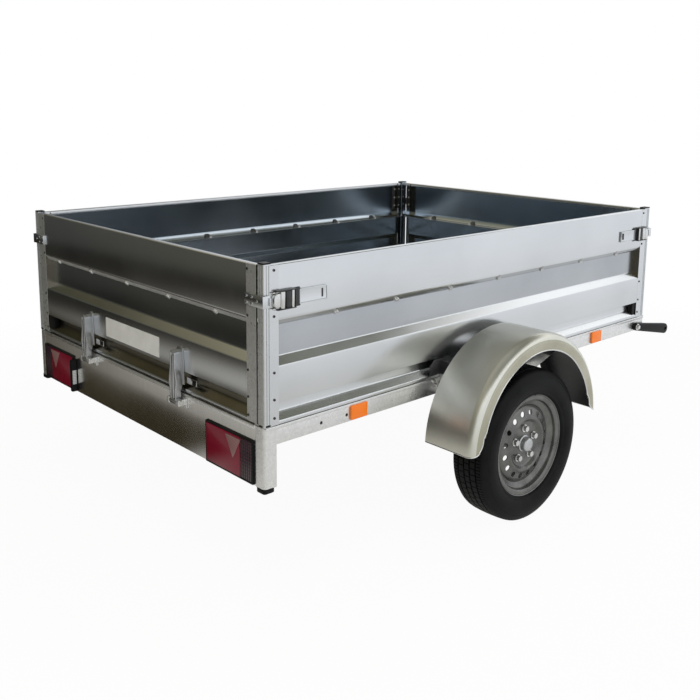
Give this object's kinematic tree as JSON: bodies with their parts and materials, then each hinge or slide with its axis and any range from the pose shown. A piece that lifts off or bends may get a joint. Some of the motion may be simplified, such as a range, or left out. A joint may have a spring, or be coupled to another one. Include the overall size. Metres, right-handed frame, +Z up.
{
  "type": "utility trailer",
  "caption": "Single-axle galvanised box trailer with extension boards, drop tailgate, round mudguards, V drawbar with ball coupling and a jockey wheel.",
  "frame": {"origin": "on the ground, under the middle of the whole trailer", "axes": "+X forward towards the coupling, +Y to the trailer's left, +Z up"},
  "size_m": [3.1812, 2.015, 1.0115],
  "materials": {
    "zinc_sheet": "smooth galvanised sheet",
    "zinc_frame": "hot-dip galvanised, spangled",
    "bright_steel": "bright zinc plate",
    "rim_paint": "silver-grey wheel paint",
    "tyre": "black rubber",
    "black_rubber": "solid rubber",
    "black_plastic": "moulded black plastic",
    "black_paint": "black coated steel",
    "red_lens": "clear red acrylic",
    "amber_lens": "amber reflector",
    "clear_lens": "clear plastic over black"
  },
  "bodies": {
    "trailer": {"axle_arm_left": "zinc_frame", "axle_arm_right": "zinc_frame", "axle_beam": "zinc_frame", "chassis_beam_left": "zinc_frame", "chassis_beam_right": "zinc_frame", "chassis_front_beam": "zinc_frame", "coupling_handle": "black_plastic", "coupling_head": "black_plastic", "cross_members": "zinc_frame", "drawbar_arm_left": "zinc_frame", "drawbar_arm_right": "zinc_frame", "drawbar_nose": "zinc_frame", "floor": "zinc_sheet", "front_corner_lever": "black_plastic", "front_keepers": "bright_steel", "front_lower": "zinc_sheet", "front_upper": "zinc_sheet", "hinge_bases": "zinc_frame", "jockey_crank": "bright_steel", "jockey_sleeve": "zinc_frame", "licence_lamp": "clear_lens", "mudguard_brackets_left": "black_paint", "mudguard_brackets_right": "black_paint", "mudguard_left": "zinc_sheet", "mudguard_right": "zinc_sheet", "post_caps": "black_plastic", "post_front_left": "zinc_frame", "post_front_right": "zinc_frame", "post_rear_left": "zinc_frame", "post_rear_right": "zinc_frame", "rear_feet": "black_plastic", "rear_leg_left": "zinc_frame", "rear_leg_right": "zinc_frame", "rear_skirt": "zinc_frame", "side_latches_left": "bright_steel", "side_latches_right": "bright_steel", "side_lower_left": "zinc_sheet", "side_lower_right": "zinc_sheet", "side_reflectors": "amber_lens", "side_upper_left": "zinc_sheet", "side_upper_right": "zinc_sheet", "tail_lamp_left": "red_lens", "tail_lamp_right": "red_lens"},
    "tailgate": {"tailgate_lower": "zinc_sheet", "tailgate_upper": "zinc_sheet", "tailgate_hinge_straps": "zinc_frame", "tailgate_keepers": "bright_steel"},
    "wheel_left": {"hub_left": "bright_steel", "rim_left": "rim_paint", "tyre_left": "tyre"},
    "wheel_right": {"hub_right": "bright_steel", "rim_right": "rim_paint", "tyre_right": "tyre"},
    "jockey_leg": {"jockey_leg": "zinc_frame"},
    "jockey_fork": {"jockey_fork": "zinc_frame"},
    "jockey_wheel": {"jockey_wheel": "black_rubber"}
  },
  "joints": [
    {"name": "wheel_left_spin", "type": "hinge", "parent": "trailer", "child": "wheel_left", "pos_m": [-0.55635, 0.91, 0.2735], "axis": [0, 1, 0], "continuous": true},
    {"name": "wheel_right_spin", "type": "hinge", "parent": "trailer", "child": "wheel_right", "pos_m": [-0.55635, -0.91, 0.2735], "axis": [0, 1, 0], "continuous": true},
    {"name": "tailgate_drop", "type": "hinge", "parent": "trailer", "child": "tailgate", "pos_m": [-1.57935, 0, 0.4975], "axis": [0, -1, 0], "range_deg": [0, 160]},
    {"name": "jockey_lift", "type": "slide", "parent": "trailer", "child": "jockey_leg", "axis": [0, 0, 1], "range_m": [0, 0.175]},
    {"name": "jockey_swivel", "type": "hinge", "parent": "jockey_leg", "child": "jockey_fork", "pos_m": [0.98686, 0.24086, 0.2], "axis": [0, 0, 1], "continuous": true},
    {"name": "jockey_wheel_spin", "type": "hinge", "parent": "jockey_fork", "child": "jockey_wheel", "pos_m": [0.94886, 0.24086, 0.1], "axis": [0, 1, 0], "continuous": true}
  ]
}
